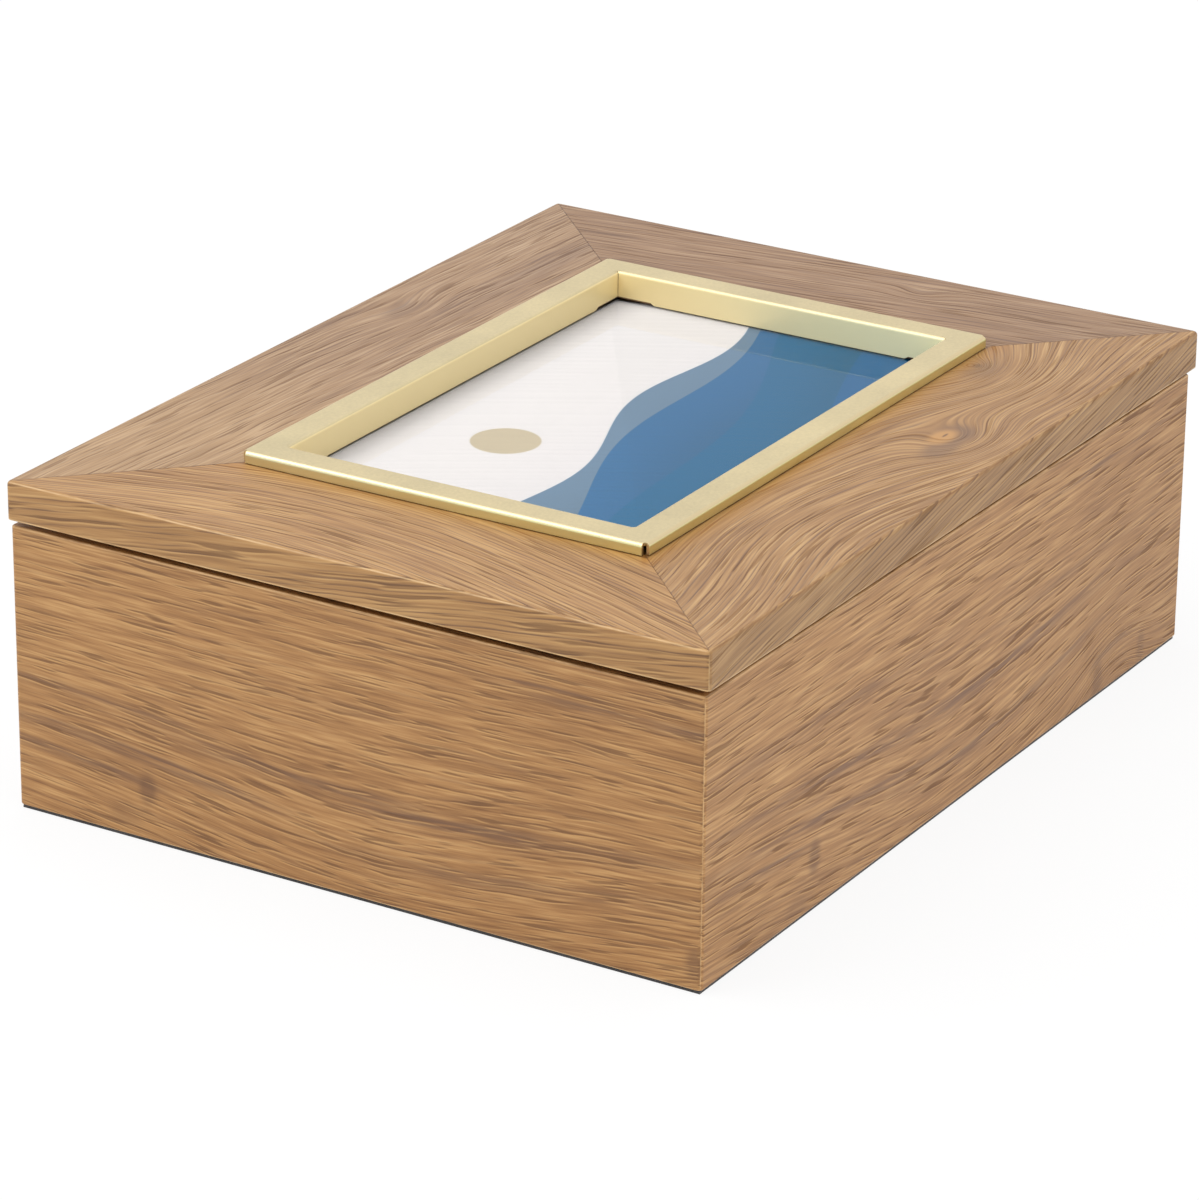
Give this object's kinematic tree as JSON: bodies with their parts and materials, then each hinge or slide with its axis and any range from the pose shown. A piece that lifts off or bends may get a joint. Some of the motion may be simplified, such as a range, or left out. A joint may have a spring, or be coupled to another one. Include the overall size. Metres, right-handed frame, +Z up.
{
  "type": "photo storage box",
  "caption": "Wooden keepsake box with a mitred, hinged lid that frames a small print behind glass in a raised metal surround; turn buttons inside hold the picture.",
  "frame": {"origin": "point of the flat felt underside that lies below the middle of the lid", "axes": "+X to the right along the hinge line and the print's long side, +Y from the front to the hinged back, +Z up"},
  "size_m": [0.24, 0.1906, 0.0852],
  "materials": {
    "oak": "satin oak veneer",
    "plywood": "matt",
    "felt": "felt",
    "bumper": "matt",
    "surround_metal": "brushed pale gold",
    "glass": "clear",
    "print": "satin",
    "board": "matt",
    "hinge_brass": "satin",
    "button_steel": "nickel plated"
  },
  "bodies": {
    "box": {"front_wall": "oak", "back_wall": "oak", "left_wall": "oak", "right_wall": "oak", "bottom_panel": "plywood", "floor_lining": "felt", "base_felt": "felt", "lid_bumpers": "bumper", "left_hinge_box_leaf": "hinge_brass", "right_hinge_box_leaf": "hinge_brass", "left_hinge_pin": "hinge_brass", "right_hinge_pin": "hinge_brass", "box_leaf_screws": "hinge_brass"},
    "lid": {"lid_front_rail": "oak", "lid_back_rail": "oak", "lid_left_rail": "oak", "lid_right_rail": "oak", "picture_surround": "surround_metal", "glass_pane": "glass", "photo_print": "print", "backing_board": "board", "left_hinge_lid_leaf": "hinge_brass", "right_hinge_lid_leaf": "hinge_brass", "lid_leaf_screws": "hinge_brass", "turn_button_screws": "button_steel"},
    "front_left_button": {"front_left_turn_button": "button_steel"},
    "front_right_button": {"front_right_turn_button": "button_steel"},
    "back_left_button": {"back_left_turn_button": "button_steel"},
    "back_right_button": {"back_right_turn_button": "button_steel"}
  },
  "joints": [
    {"name": "lid_hinge", "type": "hinge", "parent": "box", "child": "lid", "pos_m": [0, 0.0954, 0.07185], "axis": [-1, 0, 0], "range_deg": [0, 100]},
    {"name": "front_left_button_turn", "type": "hinge", "parent": "lid", "child": "front_left_button", "pos_m": [-0.042, -0.057, 0.0722], "axis": [0, 0, 1], "continuous": true},
    {"name": "front_right_button_turn", "type": "hinge", "parent": "lid", "child": "front_right_button", "pos_m": [0.042, -0.057, 0.0722], "axis": [0, 0, 1], "continuous": true},
    {"name": "back_left_button_turn", "type": "hinge", "parent": "lid", "child": "back_left_button", "pos_m": [-0.042, 0.057, 0.0722], "axis": [0, 0, 1], "continuous": true},
    {"name": "back_right_button_turn", "type": "hinge", "parent": "lid", "child": "back_right_button", "pos_m": [0.042, 0.057, 0.0722], "axis": [0, 0, 1], "continuous": true}
  ]
}
